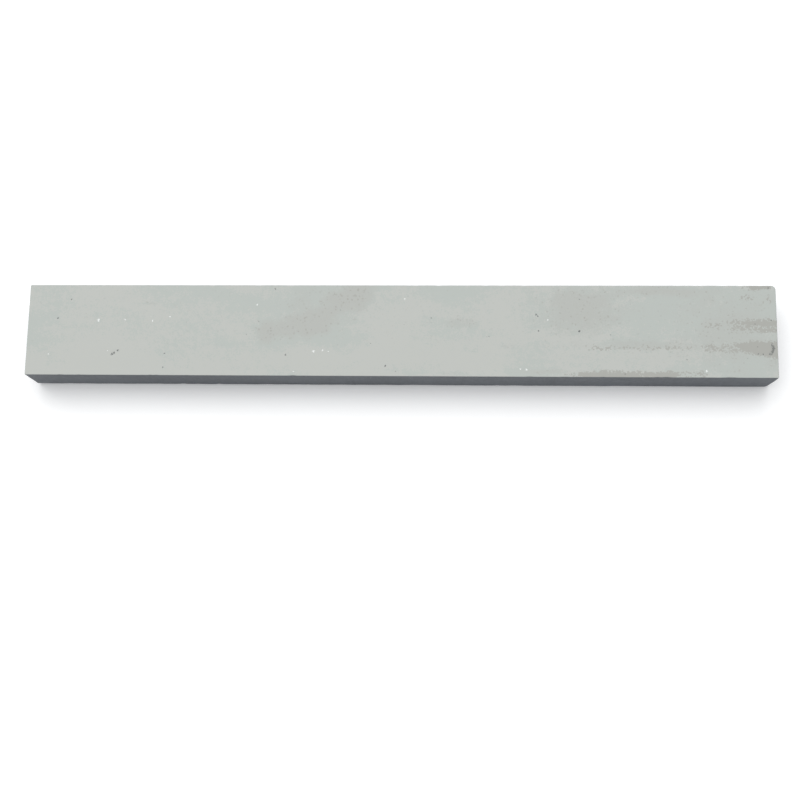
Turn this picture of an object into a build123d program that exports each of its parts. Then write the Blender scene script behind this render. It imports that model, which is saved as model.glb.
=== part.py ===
from build123d import *
import os

# A sharpening stone: one bar, sawn from a single block of fine grained rock and lapped flat on top.
# Origin: centre of the face that it rests on. +X runs along the stone, +Y points away from the
# person using it, and +Z points up, out of the honing face. All sizes are in millimetres.

# Overall sizes: a narrow bench stone, 8 in x 1 in x 1/2 in.
stone_length = 203.2
stone_width = 25.4
stone_thickness = 12.7

# Edges.
resting_edge_radius = 1.5  # the four edges around the resting face are rubbed round, for the hand
honing_edge_break = 0.2    # the four edges around the honing face are only just broken, so they stay crisp
upright_edge_radius = 0.3  # three of the four upright edges, between the long sides and the ends
worn_edge_radius = 1.2     # the upright edge at the far right, knocked and rubbed rounder than the others

# How far the long profiles run past the stone before they are cut to its plan.
profile_overrun = 5.0


def plan_prism():
    """The stone's outline from above, with its upright edges eased, drawn up through its thickness."""
    outline = Rectangle(stone_length, stone_width)
    right_hand = outline.vertices().group_by(Axis.X)[-1]
    outline = fillet(right_hand.sort_by(Axis.Y)[-1], worn_edge_radius)
    square_left = outline.vertices().group_by(Axis.X)[0]
    outline = fillet(square_left, upright_edge_radius)
    near_right = outline.vertices().group_by(Axis.Y)[0].sort_by(Axis.X)[-1]
    outline = fillet(near_right, upright_edge_radius)
    return extrude(outline, stone_thickness)


def eased_prism(view, span, run):
    """A long prism whose section stands on the resting face: rounded below and broken above."""
    section = Rectangle(span, stone_thickness, align=(Align.CENTER, Align.MIN))
    section = fillet(section.vertices().group_by(Axis.Y)[0], resting_edge_radius)
    section = chamfer(section.vertices().group_by(Axis.Y)[-1], honing_edge_break)
    return extrude(view * section, run / 2 + profile_overrun, both=True)


def make_stone_bar():
    """The solid that its plan, its end view and its side view have in common."""
    end_view = eased_prism(Plane.YZ, stone_width, stone_length)
    side_view = eased_prism(Plane.XZ, stone_length, stone_width)
    return plan_prism() & end_view & side_view


os.makedirs("parts", exist_ok=True)
export_step(make_stone_bar(), "parts/stone_bar.step")
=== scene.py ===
import bpy
import numpy as np
from mathutils import Matrix, Vector


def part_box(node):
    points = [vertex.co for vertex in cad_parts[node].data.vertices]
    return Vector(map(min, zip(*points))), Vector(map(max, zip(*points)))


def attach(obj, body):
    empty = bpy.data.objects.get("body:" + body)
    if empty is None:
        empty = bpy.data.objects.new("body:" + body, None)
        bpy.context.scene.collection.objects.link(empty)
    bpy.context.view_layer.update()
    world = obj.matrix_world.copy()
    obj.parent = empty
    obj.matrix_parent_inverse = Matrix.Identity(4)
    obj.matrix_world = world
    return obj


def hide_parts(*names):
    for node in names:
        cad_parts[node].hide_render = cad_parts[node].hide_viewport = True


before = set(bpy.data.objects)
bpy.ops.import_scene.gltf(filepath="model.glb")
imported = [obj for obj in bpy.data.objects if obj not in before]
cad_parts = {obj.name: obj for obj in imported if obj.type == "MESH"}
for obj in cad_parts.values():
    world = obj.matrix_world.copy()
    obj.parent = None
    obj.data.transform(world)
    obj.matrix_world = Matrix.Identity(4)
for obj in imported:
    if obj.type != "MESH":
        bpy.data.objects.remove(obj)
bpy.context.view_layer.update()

# ---- The stone ----------------------------------------------------------------------------------
# One bar of fine grained natural stone. It was sawn from the block on every side and then lapped flat and
# pale on one face, the honing face. The sawn sides are coloured dark, partly for their own duller tone and
# partly as painted shade. The lower edges are rubbed round for the hand, the upper ones only broken, and
# two corners at the right end are worn.

# Sizes, in millimetres.
MM = 0.001
lowest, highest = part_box("stone_bar")
size = np.array(highest - lowest) / MM
half = size / 2
lower_edge_radius = 1.5
upper_edge_radius = 0.14
upright_edge_radius = 0.3
worn_upright_radius = 1.2
lower_corner_wear = 2.0
saw_ripple = 0.006
honing_waver = 0.008
horn_depth = 0.16

# Colours.
GROUND_PALE = "#babcb7"
GROUND_GREEN = "#b4b9b4"
CLOUD = "#b2b4af"
STAIN = "#a5a59f"
# The two sawn colours hold painted shade of the sides as well as their own darker tone.
SAWN_AND_SHADED = "#464b51"
SAWN_AND_SHADED_PALE = "#50555b"
RUBBED = "#7b8083"
DARK_GRAIN = "#4c5052"
WHITE_GRAIN = "#e9ebe9"


def graded_lines(length, fine_low, fine_high, coarse, zone):
    """Places from 0 to length for the lines of a mesh. Their spacing grows in a straight line from the
    fine value at each end to the coarse one, zone away from it. The number of lines up to a place is the
    running sum of 1 / spacing, so even steps of that number give the places."""
    along = np.linspace(0, length, 5000)
    from_low = fine_low + (coarse - fine_low) * along / zone
    from_high = fine_high + (coarse - fine_high) * (length - along) / zone
    spacing = np.minimum(coarse, np.minimum(from_low, from_high))
    step = np.diff(along) / ((spacing[1:] + spacing[:-1]) / 2)
    count = np.concatenate([[0], np.cumsum(step)])
    return np.interp(np.linspace(0, count[-1], round(count[-1]) + 1), count, along)


def block_lattice(xs, ys, zs):
    """The outside of a block of nx by ny by nz points: its points, each point's place in the lattice, and
    its quads, turned outwards. Faces that meet share the points of their edge, so the skin is closed."""
    nx, ny, nz = len(xs), len(ys), len(zs)
    i, j, k = np.meshgrid(np.arange(nx), np.arange(ny), np.arange(nz), indexing="ij")
    outside = (i == 0) | (i == nx - 1) | (j == 0) | (j == ny - 1) | (k == 0) | (k == nz - 1)
    number = np.full(outside.shape, -1)
    number[outside] = np.arange(outside.sum())
    points = np.stack([xs[i[outside]], ys[j[outside]], zs[k[outside]]])
    quads = []
    for side, turned in (
        (number[0], True), (number[-1], False),
        (number[:, 0], False), (number[:, -1], True),
        (number[:, :, 0], True), (number[:, :, -1], False),
    ):
        ring = [side[:-1, :-1], side[1:, :-1], side[1:, 1:], side[:-1, 1:]]
        ring = ring[::-1] if turned else ring
        quads.append(np.stack(ring, axis=-1).reshape(-1, 4))
    places = np.stack([i[outside], j[outside], k[outside]])
    return points, places, np.concatenate(quads)


def smooth_noise(u, v, cell_u, cell_v, seed):
    """Noise from -1 to 1 over a plane: random values at the corners of cells, eased between the corners
    by 3 t^2 - 2 t^3 each way."""
    table = np.random.default_rng(seed).uniform(-1, 1, (256, 256))
    a, b = u / cell_u, v / cell_v
    i, j = np.floor(a).astype(int), np.floor(b).astype(int)
    s, t = a - i, b - j
    s, t = s * s * (3 - 2 * s), t * t * (3 - 2 * t)

    def corner(step_i, step_j):
        return table[(i + step_i) % 256, (j + step_j) % 256]

    near_row = corner(0, 0) * (1 - s) + corner(1, 0) * s
    far_row = corner(0, 1) * (1 - s) + corner(1, 1) * s
    return near_row * (1 - t) + far_row * t


def ease_edge(a, b, radius):
    """Rounds the edge between two faces, where a and b are the depths below each of them. Nearer than the
    radius to both, a place is drawn in towards the edge's centre line, in the ratio of the square's reach
    to its distance, which bends the square corner onto a quarter circle. Every other place stays."""
    short_a, short_b = radius - a, radius - b
    inside = (short_a > 0) & (short_b > 0)
    distance = np.where(inside, np.hypot(short_a, short_b), 1)
    draw = np.where(inside, np.maximum(short_a, short_b) / distance, 1)
    return np.where(inside, radius - short_a * draw, a), np.where(inside, radius - short_b * draw, b)


def chipped_radius(along, radius, chips, largest, seed):
    """The radius of a worn edge at places along it: the given radius with a slow waver, and humps
    (1 - (s / width)^2)^2 where small chips have come off."""
    rng = np.random.default_rng(seed)
    centre = rng.uniform(along.min(), along.max(), chips)
    width = rng.uniform(0.5, 1.6, chips)
    depth = largest * rng.uniform(0.15, 1, chips) ** 3
    hump = depth * np.clip(1 - ((along[:, None] - centre) / width) ** 2, 0, None) ** 2
    waver = 0.15 * radius * smooth_noise(along, along, 4.0, 4.0, seed)
    return radius + waver + hump.max(axis=1)


def pit(x, y, x0, y0, half_length, half_width, turn, depth):
    """A shallow pit, depth (1 - r^2)^2 deep, where r is 1 on a turned ellipse."""
    u = (x - x0) * np.cos(turn) + (y - y0) * np.sin(turn)
    v = (y - y0) * np.cos(turn) - (x - x0) * np.sin(turn)
    r2 = (u / half_length) ** 2 + (v / half_width) ** 2
    return depth * np.clip(1 - r2, 0, None) ** 2


def crescent(x, y, x0, y0, radius, half_width, middle, half_angle):
    """How far a place is into a crescent along an arc of a circle: cos^2 across the arc, and cos along it
    down to nothing at its two horns."""
    off_arc = np.clip(np.abs(np.hypot(x - x0, y - y0) - radius) / half_width, 0, 1)
    turn = np.angle(np.exp(1j * (np.arctan2(y - y0, x - x0) - middle)))
    to_horn = np.clip(np.abs(turn) / half_angle, 0, 1)
    return np.cos(off_arc * np.pi / 2) ** 2 * np.cos(to_horn * np.pi / 2)


def saw_marks(u, v, seed):
    """Depth of the shallow arcs that a round blade leaves: ripples across u that lean over with height v,
    in which noise varies the spacing and the strength, over a finer roughness."""
    bent = u + 0.012 * (v + 6) ** 2
    ripple = smooth_noise(bent, 0 * v, 1.3, 1.0, seed) + 0.5 * smooth_noise(bent, 0 * v, 0.7, 1.0, seed + 1)
    strength = 0.6 + 0.4 * smooth_noise(u, v, 9.0, 9.0, seed + 2)
    fine = smooth_noise(u, v, 0.9, 0.9, seed + 3)
    return saw_ripple * (1.5 + ripple * strength) + saw_ripple * (1 + fine)


xs = graded_lines(size[0], 0.12, 0.12, 0.4, 2.5) - half[0]
ys = graded_lines(size[1], 0.1, 0.1, 0.52, 2.2) - half[1]
zs = graded_lines(size[2], 0.2, 0.08, 0.75, 2.6) - half[2]
skin, places, quads = block_lattice(xs, ys, zs)
on_low = places == 0
on_high = places == np.array([[len(xs) - 1], [len(ys) - 1], [len(zs) - 1]])
on_top = on_high[2]

# Where the lapped face ends, and how far each point is from the nearest edge of the block.
depths = half[:, None] - np.abs(skin)
edge_distance = np.sort(depths, axis=0)[1]
lapped = np.where(on_top, 0.5 + 0.5 * np.clip(edge_distance / upper_edge_radius, 0, 1), 0.0)
just_below = ~on_top & (half[2] - skin[2] < upper_edge_radius)
lapped = np.where(just_below, 0.5 - 0.5 * (half[2] - skin[2]) / upper_edge_radius, lapped)

# Relief: the honing face is flat but for a few pits, and every other face is sawn.
x, y, z = skin
horn = crescent(x, y, 98.3, -4.7, 2.1, 0.55, -0.15, 1.1)
face_pits = (
    pit(x, y, -77.3, -6.6, 0.85, 0.5, 0.6, 0.2)
    + pit(x, y, -76.5, -6.0, 0.5, 0.4, 0.6, 0.08)
    + pit(x, y, 37.8, 4.2, 0.8, 0.45, -0.8, 0.08)
    + horn_depth * horn
)
flatness = honing_waver * (1 + smooth_noise(x, y, 17.0, 9.0, 11))
sunk = np.where(on_top, face_pits + flatness, 0)
skin = np.stack([
    x + np.where(on_low[0], saw_marks(y, z, 51), 0) - np.where(on_high[0], saw_marks(-y, z, 61), 0),
    y + np.where(on_low[1], saw_marks(x, z, 31), 0) - np.where(on_high[1], saw_marks(-x, z, 41), 0),
    z + np.where(on_low[2], saw_marks(x, y, 21), 0) - sunk,
])

# The twelve edges: the axis that each runs along, the two faces that meet there, its radius, and how
# many chips it has and their size. The near upright edge on the right grows rounder towards its foot.
X, Y, Z = 0, 1, 2
worn_foot_radius = upright_edge_radius + lower_corner_wear * ((half[Z] - skin[Z]) / size[Z]) ** 2
for number, (run, (a, side_a), (b, side_b), radius, chips, largest) in enumerate((
    (X, (Y, -1), (Z, -1), lower_edge_radius, 12, 0.5),
    (X, (Y, 1), (Z, -1), lower_edge_radius, 12, 0.5),
    (X, (Y, -1), (Z, 1), upper_edge_radius, 45, 0.3),
    (X, (Y, 1), (Z, 1), upper_edge_radius, 45, 0.35),
    (Y, (X, -1), (Z, -1), lower_edge_radius, 3, 0.4),
    (Y, (X, 1), (Z, -1), lower_edge_radius, 3, 0.4),
    (Y, (X, -1), (Z, 1), upper_edge_radius, 8, 0.3),
    (Y, (X, 1), (Z, 1), upper_edge_radius, 10, 0.4),
    (Z, (X, -1), (Y, -1), upright_edge_radius, 3, 0.25),
    (Z, (X, -1), (Y, 1), upright_edge_radius, 3, 0.25),
    (Z, (X, 1), (Y, -1), worn_foot_radius, 3, 0.25),
    (Z, (X, 1), (Y, 1), worn_upright_radius, 3, 0.25),
)):
    worn = chipped_radius(skin[run], radius, chips, largest, 71 + number)
    depth_a, depth_b = ease_edge(half[a] - side_a * skin[a], half[b] - side_b * skin[b], worn)
    skin[a], skin[b] = side_a * (half[a] - depth_a), side_b * (half[b] - depth_b)
x, y, z = skin


def streak(start, full, end, middle, half_width, seed):
    """How much of the stone a stain along the bedding covers. Four tenths of it is covered from start
    on, all from full on, and nothing past end. Half a millimetre each side of its border, cover goes
    from all to nothing. Noise makes that border ragged, three times as much at its ends."""
    ragged = 0.35 * smooth_noise(x, y, 2.4, 0.8, seed)
    ragged = ragged + 0.25 * smooth_noise(x, y, 0.9, 0.5, seed + 1)
    inside = np.clip(0.5 + (half_width - np.abs(y - middle)) / 0.9 + ragged, 0, 1)
    along = x + 3 * ragged
    partly = 0.42 * np.clip((along - start) / 2.5, 0, 1)
    wholly = 0.58 * np.clip((along - full + 1.5) / 1.5, 0, 1)
    return inside * (partly + wholly) * np.clip((end + 0.4 - along) / 0.8, 0, 1)


def cloud(x0, y0, half_length, half_width, turn, seed):
    """A soft patch, 1 in the middle and 0 outside a turned ellipse whose rim is uneven."""
    u = (x - x0) * np.cos(turn) + (y - y0) * np.sin(turn)
    v = (y - y0) * np.cos(turn) - (x - x0) * np.sin(turn)
    uneven = 0.35 * smooth_noise(x, y, 4.0, 3.0, seed) + 0.2 * smooth_noise(x, y, 1.5, 1.2, seed + 1)
    return np.clip(1.35 - np.hypot(u / half_length, v / half_width) + uneven, 0, 1)


# Stains run in from the right end and from the near side along the bedding. Where the stone is only
# partly stained, it is stained grain by grain, and past FAR it is never stained whole.
FAR, OUT = 300.0, 103.0
stain = np.maximum.reduce([
    streak(81.3, FAR, 87.5, 1.7, 0.7, 101),
    streak(87.0, FAR, 96.0, 1.6, 1.5, 103),
    streak(88.0, 92.3, OUT, 2.3, 0.85, 105),
    streak(90.5, 96.3, OUT, 0.35, 0.55, 107),
    streak(81.0, 91.8, OUT, -4.5, 1.3, 109),
    streak(93.0, 95.0, OUT, -4.7, 1.95, 111),
    streak(97.5, 99.0, OUT, -5.1, 2.3, 113),
    streak(91.4, 95.2, 100.2, 12.3, 0.7, 115),
    streak(91.5, FAR, 96.0, 9.2, 0.6, 117),
    streak(97.5, FAR, 99.8, 8.6, 1.1, 119),
    streak(50.0, FAR, 64.0, -4.6, 0.55, 121),
    streak(62.0, FAR, 79.0, -4.7, 0.3, 122),
    streak(45.0, 50.5, 66.0, -12.2, 1.1, 123),
    streak(63.0, 65.5, 74.5, -12.0, 0.85, 125),
    streak(72.0, FAR, 80.0, -12.0, 0.8, 126),
    streak(75.0, FAR, 83.0, -11.9, 0.7, 127),
    streak(45.0, FAR, 78.0, 11.0, 0.1, 129),
])
# Clouds: a broad one runs slantwise across the middle, small ones lie beside it, and a few wide, faint
# ones darken the right hand third.
shade = np.maximum.reduce([
    cloud(-12.5, 9.2, 9.0, 4.8, 0.5, 121),
    0.9 * cloud(-18.5, 5.4, 8.0, 3.6, 0.6, 135),
    cloud(-24.0, 2.2, 9.5, 4.0, 0.2, 123),
    0.85 * cloud(-31.0, 0.3, 8.0, 3.6, 0.2, 137),
    0.5 * cloud(-25.5, 8.3, 5.0, 4.0, 0.0, 151),
    0.55 * cloud(17.5, 2.3, 7.5, 1.5, 0.0, 125),
    0.55 * cloud(21.0, -5.4, 3.2, 1.1, 0.0, 131),
    0.45 * cloud(25.5, -7.4, 2.4, 1.4, 0.0, 139),
    0.45 * cloud(30.5, -4.4, 3.4, 1.3, 0.0, 141),
    0.9 * cloud(13.0, -11.7, 9.0, 0.9, 0.0, 143),
    0.8 * cloud(36.0, -11.3, 10.0, 1.0, 0.0, 145),
    0.6 * cloud(-67.5, 7.4, 2.6, 0.6, 0.0, 133),
    0.8 * cloud(49.0, 7.0, 13.0, 7.5, 0.0, 127),
    0.75 * cloud(68.0, 11.0, 20.0, 2.0, 0.0, 147),
    0.65 * cloud(66.0, -3.9, 22.0, 1.6, 0.0, 149),
    0.6 * cloud(90.0, 1.0, 18.0, 13.0, 0.0, 129),
])
# Along the near side, left of the stains, the honing face is coloured palest.
shade -= 0.5 * np.clip((-4.0 - y) / 4.0, 0, 1) * np.clip((42.0 - x) / 10.0, 0, 1)

stone_mesh = bpy.data.meshes.new("stone_bar_skin")
stone_mesh.from_pydata(((skin.T + [0, 0, half[Z]]) * MM).tolist(), [], quads.tolist())
stone_mesh.polygons.foreach_set("use_smooth", np.ones(len(quads), bool))
for name, values in (
    ("lapped", lapped), ("stain", np.where(on_top, stain, 0)), ("shade", np.where(on_top, shade, 0)),
    ("horn", np.where(on_top, horn, 0)), ("edge_mm", edge_distance),
):
    attribute = stone_mesh.attributes.new(name, "FLOAT", "POINT")
    attribute.data.foreach_set("value", values.astype(np.float32))
stone_mesh.update()
stone = bpy.data.objects.new("stone_bar_surface", stone_mesh)
bpy.context.scene.collection.objects.link(stone)


def linear(hex_colour):
    """An sRGB hex colour as linear red, green, blue and a full alpha."""
    parts = np.array([int(hex_colour[i:i + 2], 16) for i in (1, 3, 5)]) / 255
    light = np.where(parts <= 0.04045, parts / 12.92, ((parts + 0.055) / 1.055) ** 2.4)
    return (*light.tolist(), 1.0)


def add_node(tree, kind, inputs=None, output=0, **settings):
    """Adds a node and gives back one of its outputs. settings are the node's own properties. inputs gives
    each input, by name or number, a value or the output that feeds it."""
    new = tree.nodes.new(kind)
    for name, value in settings.items():
        setattr(new, name, value)
    for key, value in (inputs or {}).items():
        if isinstance(value, bpy.types.NodeSocket):
            tree.links.new(value, new.inputs[key])
        else:
            new.inputs[key].default_value = value
    return new.outputs[output] if len(new.outputs) else None


# Fine grained hone stone, lapped: matt, pale grey and very slightly green, with faint clouds, olive
# stains along the bedding, and dark and white mineral grains up to 0.8 mm across.
stone_material = bpy.data.materials.new("Hone_stone_lapped_with_painted_side_shade")
stone_material.use_nodes = True
tree = stone_material.node_tree
tree.nodes.clear()
NOISE, RANGE, MIX, MATH = "ShaderNodeTexNoise", "ShaderNodeMapRange", "ShaderNodeMix", "ShaderNodeMath"
SOFT, COLOUR = {"interpolation_type": "SMOOTHSTEP"}, {"output": 2, "data_type": "RGBA"}
patch_mm, mottle_mm, grain_mm, wobble_mm = 9.0, 1.6, 0.4, 0.35
saw_line_mm, scratch_mm, grit_mm = 0.5, 0.25, 0.12
place = add_node(tree, "ShaderNodeTexCoord", output="Object")
along_bed = add_node(tree, "ShaderNodeMapping", {"Vector": place, "Scale": (0.45, 1, 1)})
painted = {
    name: add_node(tree, "ShaderNodeAttribute", output="Fac", attribute_name=name)
    for name in ("lapped", "stain", "shade", "horn", "edge_mm")
}

# The ground of the lapped face: two greys in patches nearly a centimetre across. Their borders are
# ragged at 1.6 mm and break up at the size of the grains, about 0.4 mm. Clouds are green at their rims.
patches = add_node(tree, NOISE, {"Vector": along_bed, "Scale": 1 / (patch_mm * MM), "Detail": 3.0})
mottle = add_node(tree, NOISE, {"Vector": place, "Scale": 1 / (mottle_mm * MM), "Detail": 3.0})
speckle = add_node(tree, NOISE, {"Vector": place, "Scale": 1 / (grain_mm * MM), "Detail": 2.0})
broken = add_node(tree, MATH, {0: speckle, 1: 0.6, 2: patches}, operation="MULTIPLY_ADD")
broken = add_node(tree, MATH, {0: mottle, 1: 0.5, 2: broken}, operation="MULTIPLY_ADD")
broken = add_node(tree, MATH, {0: painted["shade"], 1: 0.25, 2: broken}, operation="MULTIPLY_ADD")
green = add_node(tree, RANGE, {"Value": broken, "From Min": 1.0, "From Max": 1.08}, **SOFT)
ground = add_node(tree, MIX, {0: green, 6: linear(GROUND_PALE), 7: linear(GROUND_GREEN)}, **COLOUR)
clouded = add_node(tree, MATH, {0: speckle, 1: 0.8, 2: painted["shade"]}, operation="MULTIPLY_ADD")
clouded = add_node(tree, RANGE, {"Value": clouded, "From Min": 0.55, "From Max": 1.35}, **SOFT)
ground = add_node(tree, MIX, {0: clouded, 6: ground, 7: linear(CLOUD)}, **COLOUR)

# Stain fills the stone grain by grain. Each grain, 0.4 mm across, has a number from 0 to 1 and is
# stained where the cover is more than that. A few grains are stained wherever they lie.
grain_number = add_node(
    tree, "ShaderNodeTexVoronoi", {"Vector": place, "Scale": 1 / (grain_mm * MM)}, output="Color"
)
grain_number = add_node(tree, "ShaderNodeSeparateColor", {0: grain_number})
cover = add_node(tree, MATH, {0: painted["shade"], 1: 0.07, 2: 0.04}, operation="MULTIPLY_ADD")
cover = add_node(tree, MATH, {0: painted["stain"], 1: cover}, operation="MAXIMUM")
enough = add_node(tree, MATH, {0: grain_number, 1: 0.86, 2: 0.08}, operation="MULTIPLY_ADD")
stained = add_node(tree, MATH, {0: cover, 1: enough}, operation="SUBTRACT")
stained = add_node(
    tree, RANGE, {"Value": stained, "From Min": -0.08, "From Max": 0.04, "To Max": 0.9}, **SOFT
)
ground = add_node(tree, MIX, {0: stained, 6: ground, 7: linear(STAIN)}, **COLOUR)

# The grains that catch the eye, each as its place across the honing face and its radius in mm.
dark_grains = (
    (-77.7, -6.9, 0.42), (-77.2, -6.5, 0.38), (-76.2, -5.9, 0.3), (-93.4, 3.2, 0.3), (-89.9, 8.6, 0.24),
    (-63.3, -6.6, 0.24), (-63.5, -10.5, 0.24), (-30.1, -6.9, 0.25), (-33.5, 11.6, 0.23), (-2.9, -9.8, 0.28),
    (-7.1, -3.6, 0.2), (24.3, -1.6, 0.19), (24.8, -1.6, 0.17), (37.5, 4.5, 0.2), (38.0, 4.1, 0.2),
    (38.2, -0.1, 0.3), (49.1, -0.1, 0.33), (49.2, 8.8, 0.2), (95.8, 2.0, 0.22), (100.0, 3.0, 0.2),
    (96.2, -4.2, 0.2), (96.4, -6.2, 0.2), (97.6, -6.3, 0.24), (99.6, 12.1, 0.23), (61.2, -11.9, 0.2),
)
white_grains = (
    (-82.0, 2.9, 0.36), (-82.0, 2.4, 0.32), (-74.6, 2.8, 0.3), (-67.0, 2.6, 0.28), (-67.5, 3.8, 0.18),
    (-62.2, 3.7, 0.2), (-79.0, -6.0, 0.18), (-95.4, -7.0, 0.18), (-38.3, 7.1, 0.28), (-22.5, -5.9, 0.38),
    (-20.0, -5.6, 0.25), (-18.4, -5.9, 0.22), (-27.7, -11.4, 0.22), (2.0, 8.8, 0.28), (40.6, 3.0, 0.28),
    (33.3, -10.6, 0.2), (34.9, -10.7, 0.35), (82.7, -10.9, 0.32),
)
# No grain is round: noise 0.35 mm in size moves each place by up to a quarter of a millimetre.
wobble = add_node(
    tree, NOISE, {"Vector": place, "Scale": 1 / (wobble_mm * MM), "Detail": 1.0}, output="Color"
)
wobble = add_node(tree, "ShaderNodeVectorMath", {0: wobble, 1: (0.5, 0.5, 0.5)}, operation="SUBTRACT")
uneven = add_node(
    tree, "ShaderNodeVectorMath", {0: wobble, 1: (0.8 * MM, 0.8 * MM, 0), 2: place},
    operation="MULTIPLY_ADD",
)


def nearest_grain(grains):
    """The distance to the nearest of the grains, counted in that grain's own radii."""
    nearest = 9.0
    for grain_x, grain_y, radius in grains:
        centre = (grain_x * MM, grain_y * MM, size[Z] * MM)
        away = add_node(
            tree, "ShaderNodeVectorMath", {0: uneven, 1: centre}, output="Value", operation="DISTANCE"
        )
        away = add_node(tree, MATH, {0: away, 1: radius * MM}, operation="DIVIDE")
        nearest = add_node(tree, MATH, {0: nearest, 1: away}, operation="MINIMUM")
    return nearest


dark = add_node(
    tree, RANGE,
    {"Value": nearest_grain(dark_grains), "From Min": 1.0, "From Max": 0.4, "To Max": 0.85}, **SOFT,
)
white = add_node(
    tree, RANGE,
    {"Value": nearest_grain(white_grains), "From Min": 1.0, "From Max": 0.5, "To Max": 0.9}, **SOFT,
)

# The crescent at the right end is dark grain by grain too.
horned = add_node(tree, MATH, {0: grain_number, 1: -0.65, 2: painted["horn"]}, operation="MULTIPLY_ADD")
horned = add_node(
    tree, RANGE, {"Value": horned, "From Min": 0.0, "From Max": 0.15, "To Max": 0.6}, **SOFT
)
dark = add_node(tree, MATH, {0: dark, 1: horned}, operation="MAXIMUM")

# Smaller grains lie all through the rock, one to a cell of 3.6 mm, and a face shows those that it cuts.
cell = 3.6
grains = add_node(tree, "ShaderNodeTexVoronoi", {"Vector": place, "Scale": 1 / (cell * MM)}).node
chance = add_node(tree, "ShaderNodeSeparateColor", {0: grains.outputs["Color"]}).node
grain_radius = add_node(
    tree, MATH, {0: chance.outputs[1], 1: 0.26 / cell, 2: 0.01}, operation="MULTIPLY_ADD"
)
reach = add_node(tree, MATH, {0: grains.outputs["Distance"], 1: grain_radius}, operation="DIVIDE")
cut = add_node(tree, RANGE, {"Value": reach, "From Min": 1.0, "From Max": 0.5}, **SOFT)
is_dark = add_node(tree, MATH, {0: chance.outputs[0], 1: 0.35}, operation="GREATER_THAN")
is_white = add_node(tree, MATH, {0: chance.outputs[0], 1: 0.1}, operation="LESS_THAN")
small_dark = add_node(tree, MATH, {0: cut, 1: is_dark}, operation="MULTIPLY")
small_white = add_node(tree, MATH, {0: cut, 1: is_white}, operation="MULTIPLY")
small_dark = add_node(tree, MATH, {0: small_dark, 1: 0.4}, operation="MULTIPLY")
small_white = add_node(tree, MATH, {0: small_white, 1: 0.6}, operation="MULTIPLY")
dark = add_node(tree, MATH, {0: dark, 1: small_dark}, operation="MAXIMUM")
white = add_node(tree, MATH, {0: white, 1: small_white}, operation="MAXIMUM")

# The sawn faces: dark slate grey, partly their own unscratched tone and partly painted shade, with the
# blade's lines upright across them, about 0.5 mm apart, and their edges rubbed a little lighter.
upright = add_node(tree, "ShaderNodeMapping", {"Vector": place, "Scale": (1, 1, 0.15)})
saw_lines = add_node(tree, NOISE, {"Vector": upright, "Scale": 1 / (saw_line_mm * MM), "Detail": 3.0})
sawn_and_shaded = add_node(tree, MATH, {0: patches, 1: mottle}, operation="ADD")
sawn_and_shaded = add_node(tree, RANGE, {"Value": sawn_and_shaded, "From Min": 0.8, "From Max": 1.2}, **SOFT)
sawn_and_shaded = add_node(tree, MIX, {0: sawn_and_shaded, 6: linear(SAWN_AND_SHADED), 7: linear(SAWN_AND_SHADED_PALE)}, **COLOUR)
lined = add_node(
    tree, RANGE, {"Value": saw_lines, "From Min": 0.4, "From Max": 0.7, "To Max": 0.1}, **SOFT
)
sawn_and_shaded = add_node(tree, MIX, {0: lined, 6: sawn_and_shaded, 7: linear(RUBBED)}, **COLOUR)
at_edge = add_node(
    tree, RANGE, {"Value": painted["edge_mm"], "From Max": 0.7, "To Min": 1.0, "To Max": 0.0}
)
rubbed = add_node(tree, MATH, {0: mottle, 1: -0.9, 2: at_edge}, operation="MULTIPLY_ADD")
rubbed = add_node(
    tree, RANGE, {"Value": rubbed, "From Min": 0.2, "From Max": 0.6, "To Max": 0.45}, **SOFT
)
sawn_and_shaded = add_node(tree, MIX, {0: rubbed, 6: sawn_and_shaded, 7: linear(RUBBED)}, **COLOUR)

border = add_node(tree, MATH, {0: speckle, 1: 0.5, 2: painted["lapped"]}, operation="MULTIPLY_ADD")
is_lapped = add_node(tree, RANGE, {"Value": border, "From Min": 0.65, "From Max": 0.85}, **SOFT)
# Off the honing face the sawn colour, darkened with painted shade, takes over.
colour = add_node(tree, MIX, {0: is_lapped, 6: sawn_and_shaded, 7: ground}, **COLOUR)
colour = add_node(tree, MIX, {0: dark, 6: colour, 7: linear(DARK_GRAIN)}, **COLOUR)
colour = add_node(tree, MIX, {0: white, 6: colour, 7: linear(WHITE_GRAIN)}, **COLOUR)

# Lapping leaves scratches about 0.1 mm wide along the stone, drawn 0.25 mm wide so that they show.
lengthwise = add_node(tree, "ShaderNodeMapping", {"Vector": place, "Scale": (0.017, 1, 1)})
scratches = add_node(
    tree, NOISE, {"Vector": lengthwise, "Scale": 1 / (scratch_mm * MM), "Detail": 2.0}
)
grit = add_node(tree, NOISE, {"Vector": place, "Scale": 1 / (grit_mm * MM), "Detail": 2.0})
height = add_node(tree, MATH, {0: grit, 1: scratches}, operation="ADD")
height = add_node(tree, MATH, {0: dark, 1: -3.0, 2: height}, operation="MULTIPLY_ADD")
bump = add_node(tree, "ShaderNodeBump", {"Strength": 0.35, "Distance": 0.02 * MM, "Height": height})
roughness = add_node(tree, RANGE, {"Value": is_lapped, "To Min": 0.6, "To Max": 0.74})
roughness = add_node(tree, MATH, {0: mottle, 1: 0.08, 2: roughness}, operation="MULTIPLY_ADD")
# Quartz and mica rock: an index near 1.54, no metal, and a broad dull sheen.
surface = add_node(
    tree, "ShaderNodeBsdfPrincipled",
    {"Base Color": colour, "Roughness": roughness, "Normal": bump, "IOR": 1.54, "Metallic": 0.0},
)
add_node(tree, "ShaderNodeOutputMaterial", {"Surface": surface})
stone_mesh.materials.append(stone_material)

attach(stone, "root")
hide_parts("stone_bar")
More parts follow.
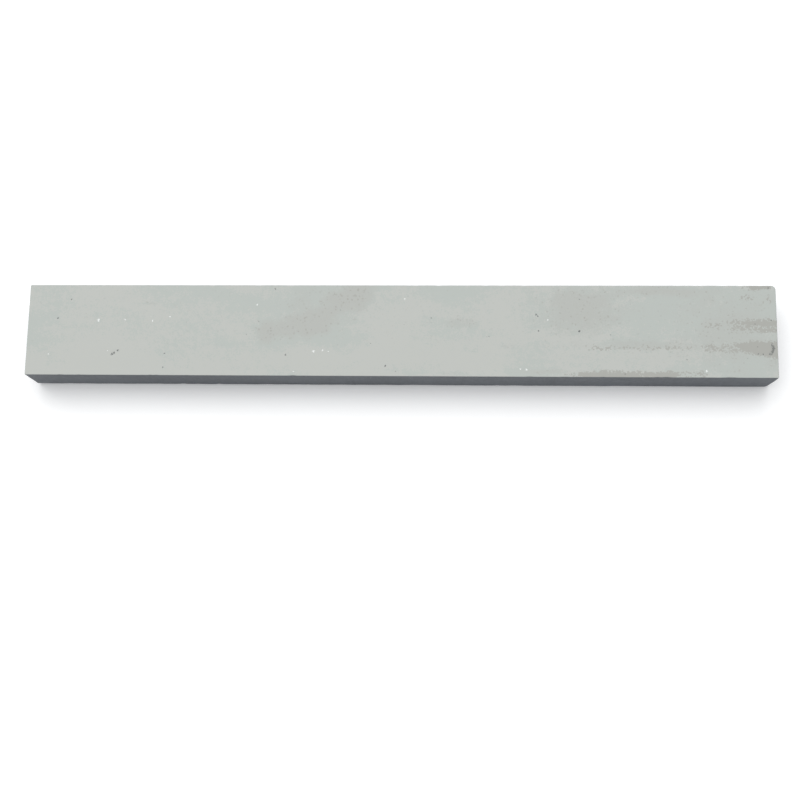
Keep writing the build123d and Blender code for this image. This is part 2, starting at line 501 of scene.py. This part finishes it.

# ---- The table ----------------------------------------------------------------------------------
# A plain, nearly white, matt acrylic table top, far larger than the stone. It glows faintly, painted light
# as from a light table beneath, which keeps the shadow on it pale.
table_half = 3.0
table_mesh = bpy.data.meshes.new("table_top")
table_mesh.from_pydata(
    [(-table_half, -table_half, 0), (table_half, -table_half, 0),
     (table_half, table_half, 0), (-table_half, table_half, 0)],
    [], [(0, 1, 2, 3)],
)
table = bpy.data.objects.new("table_top", table_mesh)
bpy.context.scene.collection.objects.link(table)
table_material = bpy.data.materials.new("Matt_white_acrylic_glowing")
table_material.use_nodes = True
table_surface = table_material.node_tree.nodes["Principled BSDF"]
table_surface.inputs["Base Color"].default_value = linear("#fcfcfc")
table_surface.inputs["Roughness"].default_value = 0.9
# The table's glow is painted light: it brightens the shadow and the stone's sides.
table_surface.inputs["Emission Color"].default_value = linear("#fcfcfc")
table_surface.inputs["Emission Strength"].default_value = 0.15
table_mesh.materials.append(table_material)

# ---- The light ----------------------------------------------------------------------------------
# One large soft lamp, high and a little behind the stone, and a bright pale room, so the side towards
# the user is shaded and the shadow on the table is faint.
key_lamp = bpy.data.lights.new("key_lamp", "AREA")
key_lamp.shape = "RECTANGLE"
key_lamp.size, key_lamp.size_y = 2.0, 1.6
key_lamp.energy = 24.6
key = bpy.data.objects.new("key_lamp", key_lamp)
bpy.context.scene.collection.objects.link(key)
key_at = Vector((-0.2, 0.6, 1.6))
key_turn = (-key_at).to_track_quat("-Z", "Y").to_matrix().to_4x4()
key.matrix_world = Matrix.Translation(key_at) @ key_turn

room = bpy.data.worlds.new("pale_room")
room.use_nodes = True
room_tree = room.node_tree
room_tree.nodes["Background"].inputs["Color"].default_value = linear("#f4f6f8")
# The walls look brighter than the light they give, so that they come near the far table's tone.
room_light, room_extra_seen = 0.55, 0.2
seen = add_node(room_tree, "ShaderNodeLightPath", output="Is Camera Ray")
strength = add_node(
    room_tree, MATH, {0: seen, 1: room_extra_seen, 2: room_light}, operation="MULTIPLY_ADD"
)
room_tree.links.new(strength, room_tree.nodes["Background"].inputs["Strength"])
bpy.context.scene.world = room
bpy.context.scene.view_settings.view_transform = "Standard"

# ---- The camera ---------------------------------------------------------------------------------
# Above the stone and a little towards the user, looking about 78 degrees down.
camera_data = bpy.data.cameras.new("camera")
camera_data.sensor_width = 36.0
camera_data.lens = 60.42
camera_data.clip_start = 0.01
camera = bpy.data.objects.new("camera", camera_data)
bpy.context.scene.collection.objects.link(camera)
camera.location = (0.020543, -0.089795, 0.364694)
camera.rotation_euler = np.radians((11.374, 2.965, 0.927))
bpy.context.scene.camera = camera
